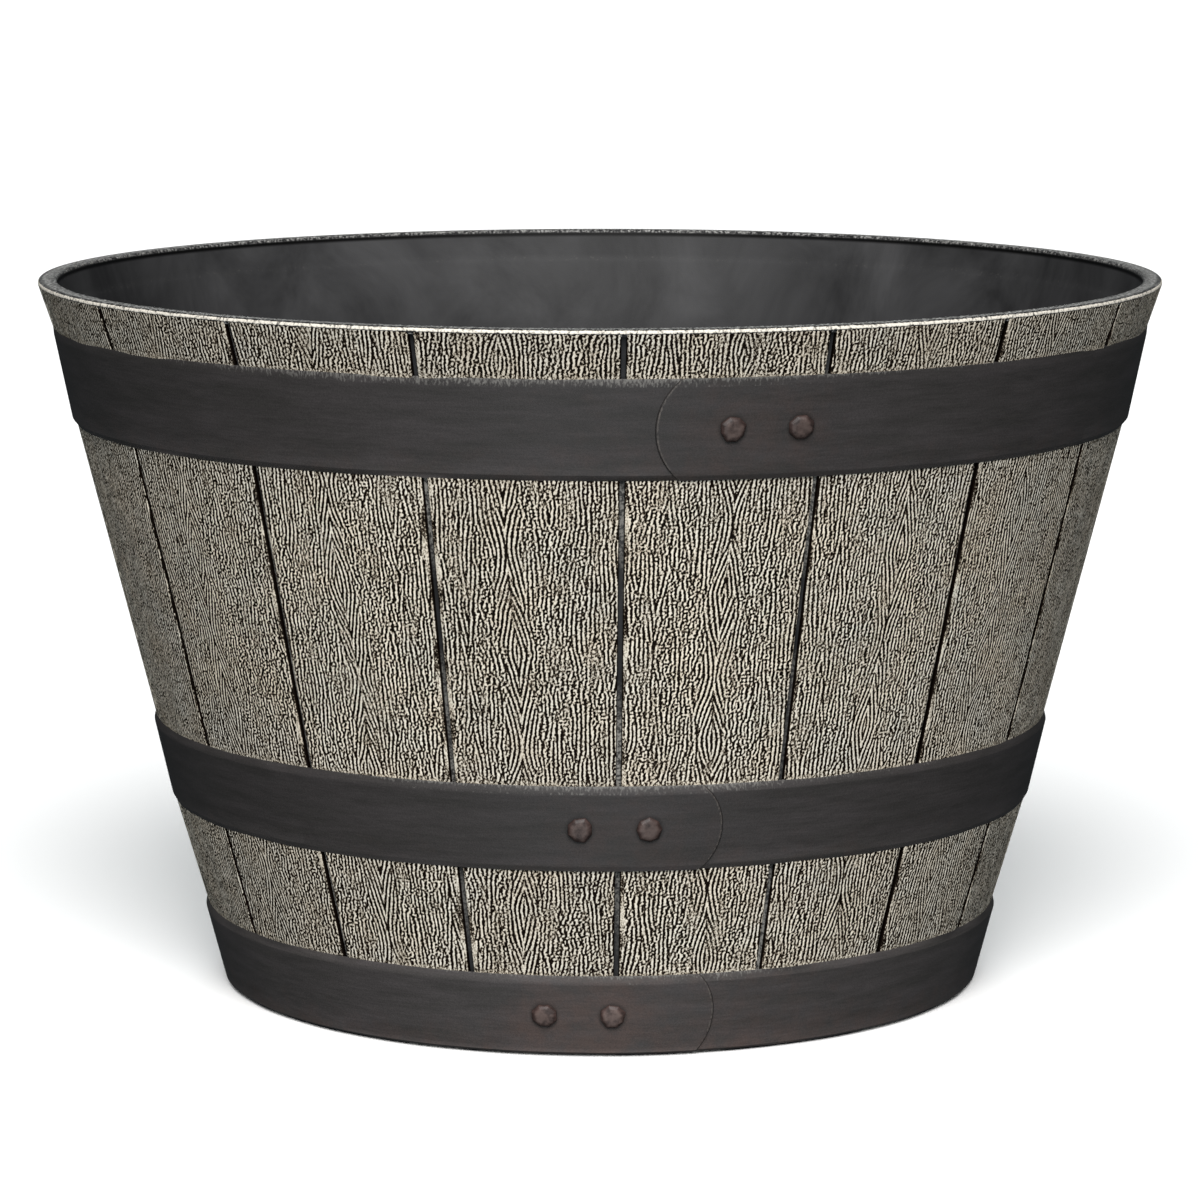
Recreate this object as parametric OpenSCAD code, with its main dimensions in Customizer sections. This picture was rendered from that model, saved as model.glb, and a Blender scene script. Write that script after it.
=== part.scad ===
// Resin whiskey barrel planter: half a barrel moulded in one, with stave grooves outside,
// three riveted hoop straps lying in moulded seats, and rubber plugs in the drain holes.
// The barrel stands on the ground at z = 0, its axis is Z and its front faces -Y.
// A face angle is measured in degrees from the front towards +X.

/* [Barrel] */
// Outside diameter of the rim
rim_d = 520; // [480:5:600]
// Height from the ground to the top of the rim
barrel_h = 330; // [315:5:400]
// Radius lost per millimetre of depth above the upper hoop
taper_rim = 0.337; // [0.25:0.001:0.4]
// Radius lost per millimetre of depth behind the upper hoop
taper_upper = 0.235; // [0.2:0.001:0.3]
// Radius lost per millimetre of depth between the upper and middle hoops
taper_body = 0.253; // [0.15:0.001:0.28]
// Radius lost per millimetre of depth behind the middle hoop
taper_middle = 0.216; // [0.15:0.001:0.3]
// Radius lost per millimetre of depth between the middle and lower hoops
taper_foot = 0.294; // [0.15:0.001:0.35]
// Radius lost per millimetre of depth behind the lower hoop
taper_lower = 0.262; // [0.15:0.001:0.35]

/* [Wall and floor] */
// Thickness of the wall at the rim
rim_wall = 8.4; // [7:0.1:12]
// Thickness of the wall just above the floor
base_wall = 6; // [4.5:0.5:10]
// Radius of the rim's outer edge
rim_edge_r = 1.5; // [0.5:0.1:2.5]
// Radius of the rim's inner edge
rim_lip_r = 2; // [0.5:0.1:3]
// Depth below the rim of the small step on the inner wall
inner_step_drop = 14; // [8:1:30]
// Width of the small step on the inner wall
inner_step = 0.4; // [0.2:0.1:1]
// Thickness of the floor
floor_t = 6; // [4:0.5:10]
// Radius of the corner between the floor and the wall
floor_corner_r = 10; // [4:1:20]
// Height of the foot ring, which is the hollow under the floor
foot_h = 8; // [6:1:15]
// Width of the foot ring on the ground
foot_ring_w = 10; // [6:1:20]
// Draft of the foot ring's inner face
foot_draft = 1; // [0:0.5:3]
// Chamfer on the foot ring's outer edge
foot_edge = 0.8; // [0.2:0.1:2]

/* [Staves] */
// Number of staves moulded round the wall
stave_count = 18; // [12:1:24]
// Face angle of the groove nearest the front
stave_phase = 2.2; // [-10:0.1:10]
// Width of the groove between two staves
groove_w = 3; // [1.5:0.1:5]
// Depth of the groove between two staves
groove_d = 2.2; // [1:0.1:3]
// Height of plain rim left above the grooves
groove_stop = 3; // [2.5:0.5:10]

/* [Hoops] */
// Thickness of the hoop straps
strap_t = 2; // [1.9:0.1:2.6]
// Clearance between a strap and its seat
strap_gap = 0.2; // [0.15:0.05:0.3]
// Plain stave between the rim and the upper hoop
upper_hoop_drop = 21.3; // [15:0.1:40]
// Height of the upper hoop
upper_hoop_w = 44.3; // [35:0.1:60]
// Height of the upper hoop's top edge outside the staves
upper_proud_top = 0.4; // [0.3:0.1:1.8]
// Height of the upper hoop's bottom edge outside the staves
upper_proud_bottom = 1.7; // [0.3:0.1:1.8]
// Height of the middle hoop's bottom edge above the ground
middle_hoop_z = 88.3; // [60:0.1:120]
// Height of the middle hoop
middle_hoop_w = 39; // [30:0.1:50]
// Height of the middle hoop's top edge outside the staves
middle_proud_top = 1.6; // [0.3:0.1:1.8]
// Height of the middle hoop's bottom edge outside the staves
middle_proud_bottom = 1; // [0.3:0.1:1.8]
// Gap between the ground and the lower hoop
lower_hoop_z = 1; // [0.9:0.1:4]
// Height of the lower hoop
lower_hoop_w = 37.3; // [28:0.1:50]
// Height of the lower hoop's face outside the staves
lower_proud = 1.7; // [0.3:0.1:1.8]
// Height of the sloped edge along the top of each hoop
hoop_top_slope = 3.5; // [1:0.1:6]
// Height of the sloped edge along the bottom of the upper and middle hoops
hoop_bottom_slope = 5; // [1:0.1:8]
// Height of the sloped edge along the bottom of the lower hoop
lower_bottom_slope = 1.2; // [0.5:0.1:3]

/* [Laps and rivets] */
// Height of a lapped strap's tip over the hoop under it
lap_step = 1; // [0.6:0.1:1.3]
// Angle over which the lapped strap sinks back to the hoop's face
lap_arc = 60; // [45:5:80]
// Face angle of the upper hoop's lap tip
upper_lap_a = 5.3; // [-60:0.1:60]
// Radius of the upper hoop's rounded tip
upper_tip_r = 28; // [24:0.5:60]
// Distance from the upper hoop's tip to its first rivet
upper_rivet_in = 33; // [20:0.5:45]
// Face angle of the middle hoop's lap tip
middle_lap_a = 15; // [-60:0.1:60]
// Radius of the middle hoop's rounded tip
middle_tip_r = 25; // [20:0.5:60]
// Distance from the middle hoop's tip to its first rivet
middle_rivet_in = 32.5; // [20:0.5:45]
// Face angle of the lower hoop's lap tip
lower_lap_a = 15.9; // [-60:0.1:60]
// Radius of the lower hoop's rounded tip
lower_tip_r = 28; // [20:0.5:60]
// Distance from the lower hoop's tip to its first rivet
lower_rivet_in = 45; // [20:0.5:50]
// Distance between the two rivets of a lap
rivet_pitch = 30; // [18:0.5:45]
// Width of a rivet's head
rivet_head_d = 11; // [8:0.5:14]
// Width of the flat on top of a rivet's head
rivet_flat_d = 7; // [4:0.5:8]
// Height of a rivet's head
rivet_head_h = 2.2; // [1.2:0.1:4]
// Diameter of a rivet's shank
rivet_shank_d = 5; // [3:0.5:7]
// Clearance round a rivet's shank
rivet_gap = 0.05; // [0.02:0.01:0.1]

/* [Drainage] */
// Diameter of the circle that the drain holes lie on
drain_pcd = 200; // [100:5:240]
// Diameter of a drain hole
drain_d = 16; // [10:0.5:24]
// Clearance round a plug in its hole
plug_gap = 0.05; // [0.02:0.01:0.1]
// Width of the plug's rim on the floor, beyond the hole
plug_brim = 5; // [3:0.5:8]
// Thickness of the plug's rim
plug_brim_t = 2.5; // [1.5:0.1:4]
// Length of plug below the floor
plug_below = 1.5; // [0.5:0.1:3]
// Wall left round the hollow in the plug's underside
plug_wall = 3; // [2:0.1:4]
// Thickness of plug left above the hollow in its underside
plug_crown = 4; // [2:0.1:5]
// Width of the finger tab on a plug
tab_w = 12; // [8:0.5:14]
// Height of the finger tab above the plug's rim
tab_h = 6; // [4:0.5:12]
// Thickness of the finger tab
tab_t = 3; // [2:0.1:5]

/* [Hidden] */
$fn = 240;

arc_steps = 8;
cut = 1;
rivets_per_lap = 2;
drain_count = 4;
wood_grey = [0.52, 0.49, 0.45];
hoop_black = [0.24, 0.23, 0.23];
rivet_brown = [0.33, 0.27, 0.25];
rubber_black = [0.11, 0.11, 0.11];

rim_r = rim_d / 2;
floor_top = foot_h + floor_t;
plug_chamfer = plug_below / 2;
brim_chamfer = plug_brim_t / 3;

// Heights of the hoops' edges, from the ground up
lower_top = lower_hoop_z + lower_hoop_w;
middle_top = middle_hoop_z + middle_hoop_w;
upper_top = barrel_h - upper_hoop_drop;
upper_bottom = upper_top - upper_hoop_w;

// Where the rounded rim edge runs into the slope of the staves
rim_slope_a = atan(taper_rim);
stave_top_z = barrel_h - rim_edge_r * (1 + sin(rim_slope_a));
stave_top_r = rim_r - rim_edge_r * (1 - cos(rim_slope_a));

// Radius of the staves' outer face at each change of slope
r_upper_top = stave_top_r - taper_rim * (stave_top_z - upper_top);
r_upper_bottom = r_upper_top - taper_upper * upper_hoop_w;
r_middle_top = r_upper_bottom - taper_body * (upper_bottom - middle_top);
r_middle_bottom = r_middle_top - taper_middle * middle_hoop_w;
r_lower_top = r_middle_bottom - taper_foot * (middle_hoop_z - lower_top);
r_ground = r_lower_top - taper_lower * lower_top;
stave_line = [[0, r_ground], [lower_top, r_lower_top], [middle_hoop_z, r_middle_bottom],
    [middle_top, r_middle_top], [upper_bottom, r_upper_bottom], [upper_top, r_upper_top],
    [stave_top_z, stave_top_r]];
function stave_r(z) = lookup(z, stave_line);

// A hoop is a list: bottom, top, how proud each stands, bottom slope, then its lap's tip angle,
// the way the lapped strap runs on from the tip, the tip's radius and the first rivet's place.
upper = [upper_bottom, upper_top, upper_proud_bottom, upper_proud_top, hoop_bottom_slope,
    upper_lap_a, 1, upper_tip_r, upper_rivet_in];
middle = [middle_hoop_z, middle_top, middle_proud_bottom, middle_proud_top, hoop_bottom_slope,
    middle_lap_a, -1, middle_tip_r, middle_rivet_in];
lower = [lower_hoop_z, lower_top, lower_proud, lower_proud, lower_bottom_slope,
    lower_lap_a, -1, lower_tip_r, lower_rivet_in];

function bottom(h) = h[0];
function top(h) = h[1];
function centre_z(h) = (bottom(h) + top(h)) / 2;
function slope_h(h) = h[4];
function tip_a(h) = h[5];
function lap_way(h) = h[6];
function tip_r(h) = h[7];
function rivet_in(h) = h[8];

// Outer and inner faces of a hoop, and the seat moulded in the staves just inside it
function face_r(h, z) = lookup(z, [[bottom(h), stave_r(bottom(h)) + h[2]],
    [top(h), stave_r(top(h)) + h[3]]]);
function back_r(h, z) = face_r(h, z) - strap_t;
function seat_r(h, z) = back_r(h, z) - strap_gap;
function face_tilt(h) = atan((face_r(h, top(h)) - face_r(h, bottom(h))) / (top(h) - bottom(h)));
function along_face(h, length) = length / face_r(h, centre_z(h)) * 180 / PI;

// The lapped strap is an arc struck off centre, so that it stands proud by the lap's step
// at the tip and meets the hoop's face at the other end.
lap_shift = lap_step / sin(lap_arc);
function shift_a(h) = tip_a(h) + lap_way(h) * (lap_arc - 90);
function lap_face_r(h, a) = face_r(h, centre_z(h)) + lap_shift * cos(a - shift_a(h));
function rivet_a(h, i) = tip_a(h) + lap_way(h) * along_face(h, rivet_in(h) + i * rivet_pitch);

// Inner face of the wall, straight from the rim to the floor
rim_in_r = rim_r - rim_wall;
floor_r = stave_r(floor_top) - base_wall;
function inner_r(z) = floor_r + (rim_in_r - floor_r) * (z - floor_top) / (barrel_h - floor_top);
inner_slope_a = atan((rim_in_r - floor_r) / (barrel_h - floor_top));
step_z = barrel_h - inner_step_drop;

function arc(centre, r, from, to) = [for (i = [0:arc_steps])
    centre + r * [cos(from + (to - from) * i / arc_steps), sin(from + (to - from) * i / arc_steps)]];

// Outline of the staves and seats from the ground up, as radius and height
outer_face = [
    [seat_r(lower, bottom(lower)) - foot_edge, 0],
    [seat_r(lower, bottom(lower)), foot_edge],
    [seat_r(lower, bottom(lower)), bottom(lower)],
    [seat_r(lower, top(lower)), top(lower)],
    [stave_r(top(lower)), top(lower)],
    [stave_r(bottom(middle)), bottom(middle)],
    [seat_r(middle, bottom(middle)), bottom(middle)],
    [seat_r(middle, top(middle)), top(middle)],
    [stave_r(top(middle)), top(middle)],
    [stave_r(bottom(upper)), bottom(upper)],
    [seat_r(upper, bottom(upper)), bottom(upper)],
    [seat_r(upper, top(upper)), top(upper)],
    [stave_r(top(upper)), top(upper)]];

rim_edges = concat(
    arc([rim_r - rim_edge_r, barrel_h - rim_edge_r], rim_edge_r, -rim_slope_a, 90),
    arc([rim_in_r + rim_lip_r * (1 - sin(inner_slope_a)) / cos(inner_slope_a),
        barrel_h - rim_lip_r], rim_lip_r, 90, 180 - inner_slope_a));

// The corner's arc touches the floor and the sloping wall inside its small step
corner_turn = 90 - inner_slope_a;
corner_r = floor_r - inner_step - floor_corner_r * tan(corner_turn / 2);
inner_face = concat(
    [[inner_r(step_z), step_z], [inner_r(step_z) - inner_step, step_z - inner_step]],
    arc([corner_r, floor_top + floor_corner_r], floor_corner_r, -inner_slope_a, -90),
    [[0, floor_top]]);

foot_in_r = seat_r(lower, bottom(lower)) - foot_edge - foot_ring_w;
underside = [[0, foot_h], [foot_in_r - foot_draft, foot_h], [foot_in_r, 0]];

module at_angle(a) {
    rotate([0, 0, a - 90]) children();
}

module stave_grooves() {
    groove_top = barrel_h - groove_stop;
    faces = concat([for (p = outer_face) [p[0] - groove_d, p[1]]],
        [[stave_r(groove_top) - groove_d, groove_top]]);
    outline = concat([[seat_r(lower, bottom(lower)) - groove_d, -cut]], faces,
        [[rim_r + cut, groove_top], [rim_r + cut, -cut]]);
    for (i = [0:stave_count - 1])
        at_angle(stave_phase + i * 360 / stave_count)
            rotate([90, 0, 0])
                translate([0, 0, -groove_w / 2])
                    linear_extrude(groove_w) polygon(outline);
}

module drain_holes() {
    for (i = [0:drain_count - 1])
        at_angle((i + 0.5) * 360 / drain_count)
            translate([drain_pcd / 2, 0, foot_h - cut])
                cylinder(d = drain_d, h = floor_t + 2 * cut);
}

module barrel_shell() {
    color(wood_grey)
    difference() {
        rotate_extrude() polygon(concat(outer_face, rim_edges, inner_face, underside));
        stave_grooves();
        drain_holes();
    }
}

// Outside of a hoop from the bottom up: each edge slopes out from the face of the staves
function hoop_outside(h) = [
    [stave_r(bottom(h)), bottom(h)],
    [face_r(h, bottom(h) + slope_h(h)), bottom(h) + slope_h(h)],
    [face_r(h, top(h) - hoop_top_slope), top(h) - hoop_top_slope],
    [stave_r(top(h)), top(h)]];

module on_lap_centre(h) {
    translate([lap_shift * sin(shift_a(h)), -lap_shift * cos(shift_a(h)), 0]) children();
}

module lapped_strap(h) {
    root = strap_t / 4;
    inside = [for (p = hoop_outside(h)) [p[0] - lap_step - root, p[1]]];
    outline = concat(hoop_outside(h), [inside[3], inside[2], inside[1], inside[0]]);
    start = lap_way(h) > 0 ? tip_a(h) : tip_a(h) - lap_arc;
    difference() {
        on_lap_centre(h)
            at_angle(start)
                rotate_extrude(angle = lap_arc) polygon(outline);
        tip_corners(h);
    }
}

// What is cut from the lapped strap's end to leave it rounded
module tip_corners(h) {
    reach = strap_t * 8;
    at_angle(tip_a(h) + lap_way(h) * along_face(h, tip_r(h)))
        translate([face_r(h, centre_z(h)) - reach, 0, centre_z(h)])
            difference() {
                translate([0, lap_way(h) > 0 ? -tip_r(h) - reach : 0, -top(h) + bottom(h)])
                    cube([2 * reach, tip_r(h) + reach, 2 * (top(h) - bottom(h))]);
                rotate([0, 90, 0])
                    translate([0, 0, -cut])
                        cylinder(r = tip_r(h), h = 2 * (reach + cut));
            }
}

module on_lap(h, i) {
    a = rivet_a(h, i);
    at_angle(a)
        translate([lap_face_r(h, a), 0, centre_z(h)])
            rotate([0, 90 + face_tilt(h), 0]) children();
}

module hoop(h) {
    extra = strap_t / 2;
    ring = concat(hoop_outside(h), [[back_r(h, top(h)) - extra, top(h)],
        [back_r(h, bottom(h)) - extra, bottom(h)]]);
    shank_hole = rivet_shank_d + 2 * rivet_gap;
    reach = 2 * (strap_t + lap_step);
    color(hoop_black)
    difference() {
        union() {
            rotate_extrude() polygon(ring);
            lapped_strap(h);
        }
        inside_hoop(h);
        for (i = [0:rivets_per_lap - 1])
            on_lap(h, i)
                translate([0, 0, -reach])
                    cylinder(d = shank_hole, h = 2 * reach);
    }
}

module upper_hoop() {
    hoop(upper);
}

module middle_hoop() {
    hoop(middle);
}

module lower_hoop() {
    hoop(lower);
}

// Hammered head: eight flats round it and a slope up to the flat on top
module rivet_head() {
    under = rivet_head_h / 2;
    across = rivet_head_d + (rivet_head_d - rivet_flat_d) * under / rivet_head_h;
    translate([0, 0, -under])
        intersection() {
            cylinder(d = rivet_head_d, h = rivet_head_h + under, $fn = 8);
            cylinder(d1 = across + rivet_head_h, d2 = rivet_flat_d, h = rivet_head_h + under);
        }
}

// Everything inside the back of a hoop
module inside_hoop(h) {
    low = back_r(h, bottom(h));
    high = back_r(h, top(h));
    rotate_extrude() polygon([[0, bottom(h) - cut], [low, bottom(h) - cut], [low, bottom(h)],
        [high, top(h)], [high, top(h) + cut], [0, top(h) + cut]]);
}

// Each rivet closes the lap: its head lies on the lapped strap and its shank ends flush with
// the back of the hoop
module rivet(h, i) {
    reach = 2 * (strap_t + lap_step);
    difference() {
        on_lap(h, i) rivet_head();
        on_lap_centre(h)
            rotate_extrude() polygon([[0, bottom(h)], [face_r(h, bottom(h)), bottom(h)],
                [face_r(h, top(h)), top(h)], [0, top(h)]]);
    }
    difference() {
        on_lap(h, i)
            translate([0, 0, -reach])
                cylinder(d = rivet_shank_d, h = reach + rivet_head_h / 2);
        inside_hoop(h);
    }
}

module rivets(h) {
    color(rivet_brown)
    for (i = [0:rivets_per_lap - 1])
        rivet(h, i);
}

module upper_rivets() {
    rivets(upper);
}

module middle_rivets() {
    rivets(middle);
}

module lower_rivets() {
    rivets(lower);
}

// Rubber plug pushed down into its hole until the rim round it lies on the floor
module drain_plug(i) {
    plug_r = drain_d / 2 - plug_gap;
    brim_r = drain_d / 2 + plug_brim;
    foot = foot_h - plug_below;
    brim_top = floor_top + plug_brim_t;
    hollow_r = drain_d / 2 - plug_wall;
    outline = [[0, brim_top - plug_crown], [hollow_r, brim_top - plug_crown], [hollow_r, foot],
        [plug_r - plug_chamfer, foot], [plug_r, foot + plug_chamfer], [plug_r, floor_top],
        [brim_r, floor_top], [brim_r, brim_top - brim_chamfer],
        [brim_r - brim_chamfer, brim_top], [0, brim_top]];
    color(rubber_black)
    at_angle((i + 0.5) * 360 / drain_count)
        translate([drain_pcd / 2, 0, 0]) {
            rotate_extrude() polygon(outline);
            translate([0, tab_t / 2, brim_top - brim_chamfer])
                rotate([90, 0, 0])
                    linear_extrude(tab_t) tab_outline();
        }
}

module tab_outline() {
    rise = tab_h + brim_chamfer;
    corner = tab_w / 4;
    translate([-tab_w / 2, 0]) square([tab_w, rise - corner]);
    translate([-tab_w / 2 + corner, 0]) square([tab_w - 2 * corner, rise]);
    for (side = [-1, 1])
        translate([side * (tab_w / 2 - corner), rise - corner]) circle(r = corner);
}

barrel_shell();
upper_hoop();
middle_hoop();
lower_hoop();
upper_rivets();
middle_rivets();
lower_rivets();
drain_plug(0);  // drain_plug_1
drain_plug(1);  // drain_plug_2
drain_plug(2);  // drain_plug_3
drain_plug(3);  // drain_plug_4
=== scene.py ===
# %% [markdown]
# # A resin half-barrel planter
# The real object is a plant tub moulded in polypropylene to look like half of an oak cask: eighteen
# grey-brown staves with a deep sculpted grain, three charcoal hoops closed by riveted laps, and a bare
# charcoal inside with four rubber drain plugs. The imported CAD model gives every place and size. This
# file dresses it: the staves get their carved grain, the hoops softened edges, the rivets hammer marks.

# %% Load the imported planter
import math
from functools import partial

import bpy
import numpy as np
from mathutils import Matrix, Vector


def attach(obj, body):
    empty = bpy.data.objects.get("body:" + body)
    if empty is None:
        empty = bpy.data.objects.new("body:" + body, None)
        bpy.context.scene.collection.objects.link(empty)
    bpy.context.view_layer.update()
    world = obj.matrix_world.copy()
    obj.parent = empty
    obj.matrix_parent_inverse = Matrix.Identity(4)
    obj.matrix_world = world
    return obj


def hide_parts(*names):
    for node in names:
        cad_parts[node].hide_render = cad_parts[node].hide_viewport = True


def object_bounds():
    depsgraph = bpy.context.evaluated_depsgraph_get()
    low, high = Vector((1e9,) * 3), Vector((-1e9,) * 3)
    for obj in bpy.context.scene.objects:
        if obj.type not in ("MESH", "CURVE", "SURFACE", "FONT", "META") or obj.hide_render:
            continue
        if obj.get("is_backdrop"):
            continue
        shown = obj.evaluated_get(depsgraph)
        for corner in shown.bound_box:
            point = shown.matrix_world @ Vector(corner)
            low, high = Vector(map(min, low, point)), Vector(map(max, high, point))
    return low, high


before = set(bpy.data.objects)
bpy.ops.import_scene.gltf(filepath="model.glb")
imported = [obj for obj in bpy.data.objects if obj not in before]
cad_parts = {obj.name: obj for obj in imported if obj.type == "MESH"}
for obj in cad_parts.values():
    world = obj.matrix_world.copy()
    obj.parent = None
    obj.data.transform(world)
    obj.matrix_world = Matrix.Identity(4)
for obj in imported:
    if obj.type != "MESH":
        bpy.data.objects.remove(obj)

cad_low, cad_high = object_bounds()
RIM_Z = cad_high[2]
print("CAD box (m):", [round(v, 4) for v in (*cad_low, *cad_high)])

# %% [markdown]
# ## Sizes
# Everything below is in metres, in the CAD's own frame: the tub stands on z = 0, its axis is Z and its
# front faces -Y. An angle is counted in degrees from the front towards +X. The staves' outer face is a
# cone that changes its slope a little at each hoop, so a short table of height and radius describes it.

# %% The staves' face and the hoops
MM = 0.001
STAVE_FACE = np.array([
    [0, 175.15], [38.3, 185.19], [88.3, 199.89], [127.3, 208.31],
    [264.4, 243.0], [308.7, 253.41], [328.02, 259.92]]) * MM
STAVE_COUNT = 18
FIRST_GROOVE = 2.2
# The staves' rounded edges widen it to about 3 mm at their faces
GROOVE_WIDTH = 2.1 * MM
STRAP_THICKNESS = 2.0 * MM
# A hoop's edges, how far it stands proud at each, the height of its lower slope, its lap (the angle of
# the tip, the way it runs, the tip's radius, the first rivet's distance) and its paint
HOOPS = {
    "upper": dict(low=0.2644, high=0.3087, proud=(1.7 * MM, 0.4 * MM), slope=2.6 * MM,
                  tip=5.3, way=1, round=28 * MM, rivet=33 * MM, tone=1.16, spray=1.0, rust=0.42),
    "middle": dict(low=0.0883, high=0.1273, proud=(1.0 * MM, 1.6 * MM), slope=2.6 * MM,
                   tip=15.0, way=-1, round=25 * MM, rivet=32.5 * MM, tone=1.16, spray=1.0, rust=0.3),
    # The lower hoop's tone of 1.60 paints it lighter than the others, as painted light from below
    "lower": dict(low=0.0010, high=0.0383, proud=(1.7 * MM, 1.7 * MM), slope=1.2 * MM,
                  tip=15.9, way=-1, round=28 * MM, rivet=45 * MM, tone=1.60, spray=0.82, rust=0.8),
}
for hoop in HOOPS.values():
    hoop["middle"] = (hoop["low"] + hoop["high"]) / 2
TOP_SLOPE = 3.5 * MM
LAP_STEP = 1.0 * MM
LAP_ARC = 60.0
RIVET_PITCH = 30 * MM
HEAD_RADIUS = 5.8 * MM
HEAD_HEIGHT = 2.2 * MM
HEAD_SUNK = 1.0 * MM


def stave_radius(z):
    return np.interp(z, STAVE_FACE[:, 0], STAVE_FACE[:, 1])


def around(angle, radius, z):
    """A point at this face angle, radius and height."""
    turn = math.radians(angle)
    return Vector((radius * math.sin(turn), -radius * math.cos(turn), z))


stave_width = 2 * math.pi * stave_radius(RIM_Z) / STAVE_COUNT - GROOVE_WIDTH
print("stave width at the rim (mm):", round(stave_width / MM, 1))

# %% [markdown]
# ## Camera
# The photograph was taken from 2.4 m away and a little above, with a long lens: the rim shows as a
# flat ellipse and the sides taper without much perspective. The place and lens here were worked out
# from the ellipses of the rim and the hoops.

# %% Camera
camera_data = bpy.data.cameras.new("photo_camera")
camera_data.lens = 153.81
camera_data.sensor_width = 36
camera = bpy.data.objects.new("photo_camera", camera_data)
camera.location = (0, -2.3797, 0.5440)
camera.rotation_euler = (math.radians(81.22), 0, 0)
bpy.context.scene.collection.objects.link(camera)
bpy.context.scene.camera = camera

# %% [markdown]
# ## Floor and light
# The tub stands on white paper under soft light from the front and above: the front staves are bright,
# the sides fall off into shade and the hoops stay dark there. Lamps close by would light the rim more
# than the foot, so three broad suns do it: the key light, the light that a table in front throws back
# up, and a weaker one from behind for the far side. The world adds a little from all round.

# %% Floor and light
bpy.ops.object.select_all(action="DESELECT")
bpy.ops.mesh.primitive_plane_add(size=60)
floor = bpy.context.object
floor.name = "paper_floor"
# The photo's background is cut out, so the paper throws no light back on the tub. It casts no shadow
# either, because the table bounce shines up through it.
floor.visible_diffuse = False
floor.visible_glossy = False
floor.visible_shadow = False
floor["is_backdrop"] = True

# Name, strength, colour, width, and how far each light leans from straight above towards the front
LAMPS = [("key_light", 5.15, (1.0, 0.99, 0.98), 44, 48),
         ("table_bounce", 0.96, (0.88, 0.96, 1.0), 50, 114),
         ("back_light", 2.0, (0.88, 0.97, 1.0), 40, -76)]
for name, energy, colour, width, lean in LAMPS:
    light = bpy.data.lights.new(name, "SUN")
    light.energy = energy
    light.color = colour
    light.angle = math.radians(width)
    lamp = bpy.data.objects.new(name, light)
    lamp.rotation_euler = (math.radians(lean), 0, 0)
    # A gleam from behind would whiten the rim
    lamp.visible_glossy = name != "back_light"
    bpy.context.scene.collection.objects.link(lamp)

world = bpy.data.worlds.new("studio")
world.use_nodes = True
world.node_tree.nodes["Background"].inputs["Color"].default_value = (0.76, 0.91, 1.0, 1)
world.node_tree.nodes["Background"].inputs["Strength"].default_value = 0.055
bpy.context.scene.world = world
bpy.context.scene.view_settings.view_transform = "Standard"

# %% [markdown]
# ## Helpers
# Colours are written as they look on screen, and one function turns them into the linear values that
# shaders need. Another adds a shader node with its settings and links: where an input is given a node,
# it takes that node's first output in use, and a ramp is given its stops as positions and colours. A
# new material comes with that function tied to its own tree.

# %% Helpers for colours, nodes and pieces
def linear(hex_colour):
    parts = [int(hex_colour[i:i + 2], 16) / 255 for i in (0, 2, 4)]
    return [c / 12.92 if c <= 0.04045 else ((c + 0.055) / 1.055) ** 2.4 for c in parts] + [1.0]


def add_node(tree, kind, inputs=None, stops=(), **settings):
    node = tree.nodes.new("ShaderNode" + kind)
    for name, value in settings.items():
        setattr(node, name, value)
    for name, value in (inputs or {}).items():
        if isinstance(value, bpy.types.Node):
            value = next(output for output in value.outputs if output.enabled)
        if isinstance(value, bpy.types.NodeSocket):
            tree.links.new(value, node.inputs[name])
        else:
            node.inputs[name].default_value = value
    for order, (position, colour) in enumerate(stops):
        elements = node.color_ramp.elements
        stop = elements[order] if order < 2 else elements.new(position)
        stop.position = position
        stop.color = linear(colour)
    return node


def new_material(name):
    """A material with an empty tree, and the function that adds nodes to it."""
    material = bpy.data.materials.new(name)
    material.use_nodes = True
    material.node_tree.nodes.clear()
    return material, partial(add_node, material.node_tree)


def write_attributes(mesh, **columns):
    for name, values in columns.items():
        layer = mesh.attributes.get(name) or mesh.attributes.new(name, "FLOAT", "POINT")
        layer.data.foreach_set("value", np.asarray(values, dtype=np.float32))


def read_points(mesh):
    points = np.empty(len(mesh.vertices) * 3, dtype=np.float32)
    mesh.vertices.foreach_get("co", points)
    return points.reshape(-1, 3).astype(float)


def write_points(mesh, points):
    mesh.vertices.foreach_set("co", np.asarray(points, dtype=np.float32).ravel())
    mesh.update()


def copy_of(piece, name):
    """A copy with a mesh of its own."""
    copy = piece.copy()
    copy.data = piece.data.copy()
    copy.name = copy.data.name = name
    bpy.context.scene.collection.objects.link(copy)
    return copy


def select_only(*pieces):
    """Selects these pieces alone, and makes the first the active one."""
    bpy.ops.object.select_all(action="DESELECT")
    for piece in pieces:
        piece.select_set(True)
    bpy.context.view_layer.objects.active = pieces[0]


def joined(*pieces):
    select_only(*pieces)
    bpy.ops.object.join()
    return pieces[0]


def in_edit_mode(piece, *steps):
    """Selects the piece alone and all its mesh, then runs each step in edit mode."""
    select_only(piece)
    bpy.ops.object.mode_set(mode="EDIT")
    bpy.ops.mesh.select_all(action="SELECT")
    for step in steps:
        step()
    bpy.ops.object.mode_set(mode="OBJECT")


def report(piece):
    mesh = piece.data
    triangles = sum(p.loop_total - 2 for p in mesh.polygons)
    size = [round(v * 1000, 1) for v in piece.dimensions]
    print(f"{piece.name}: {triangles} triangles, {size} mm")


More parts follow.
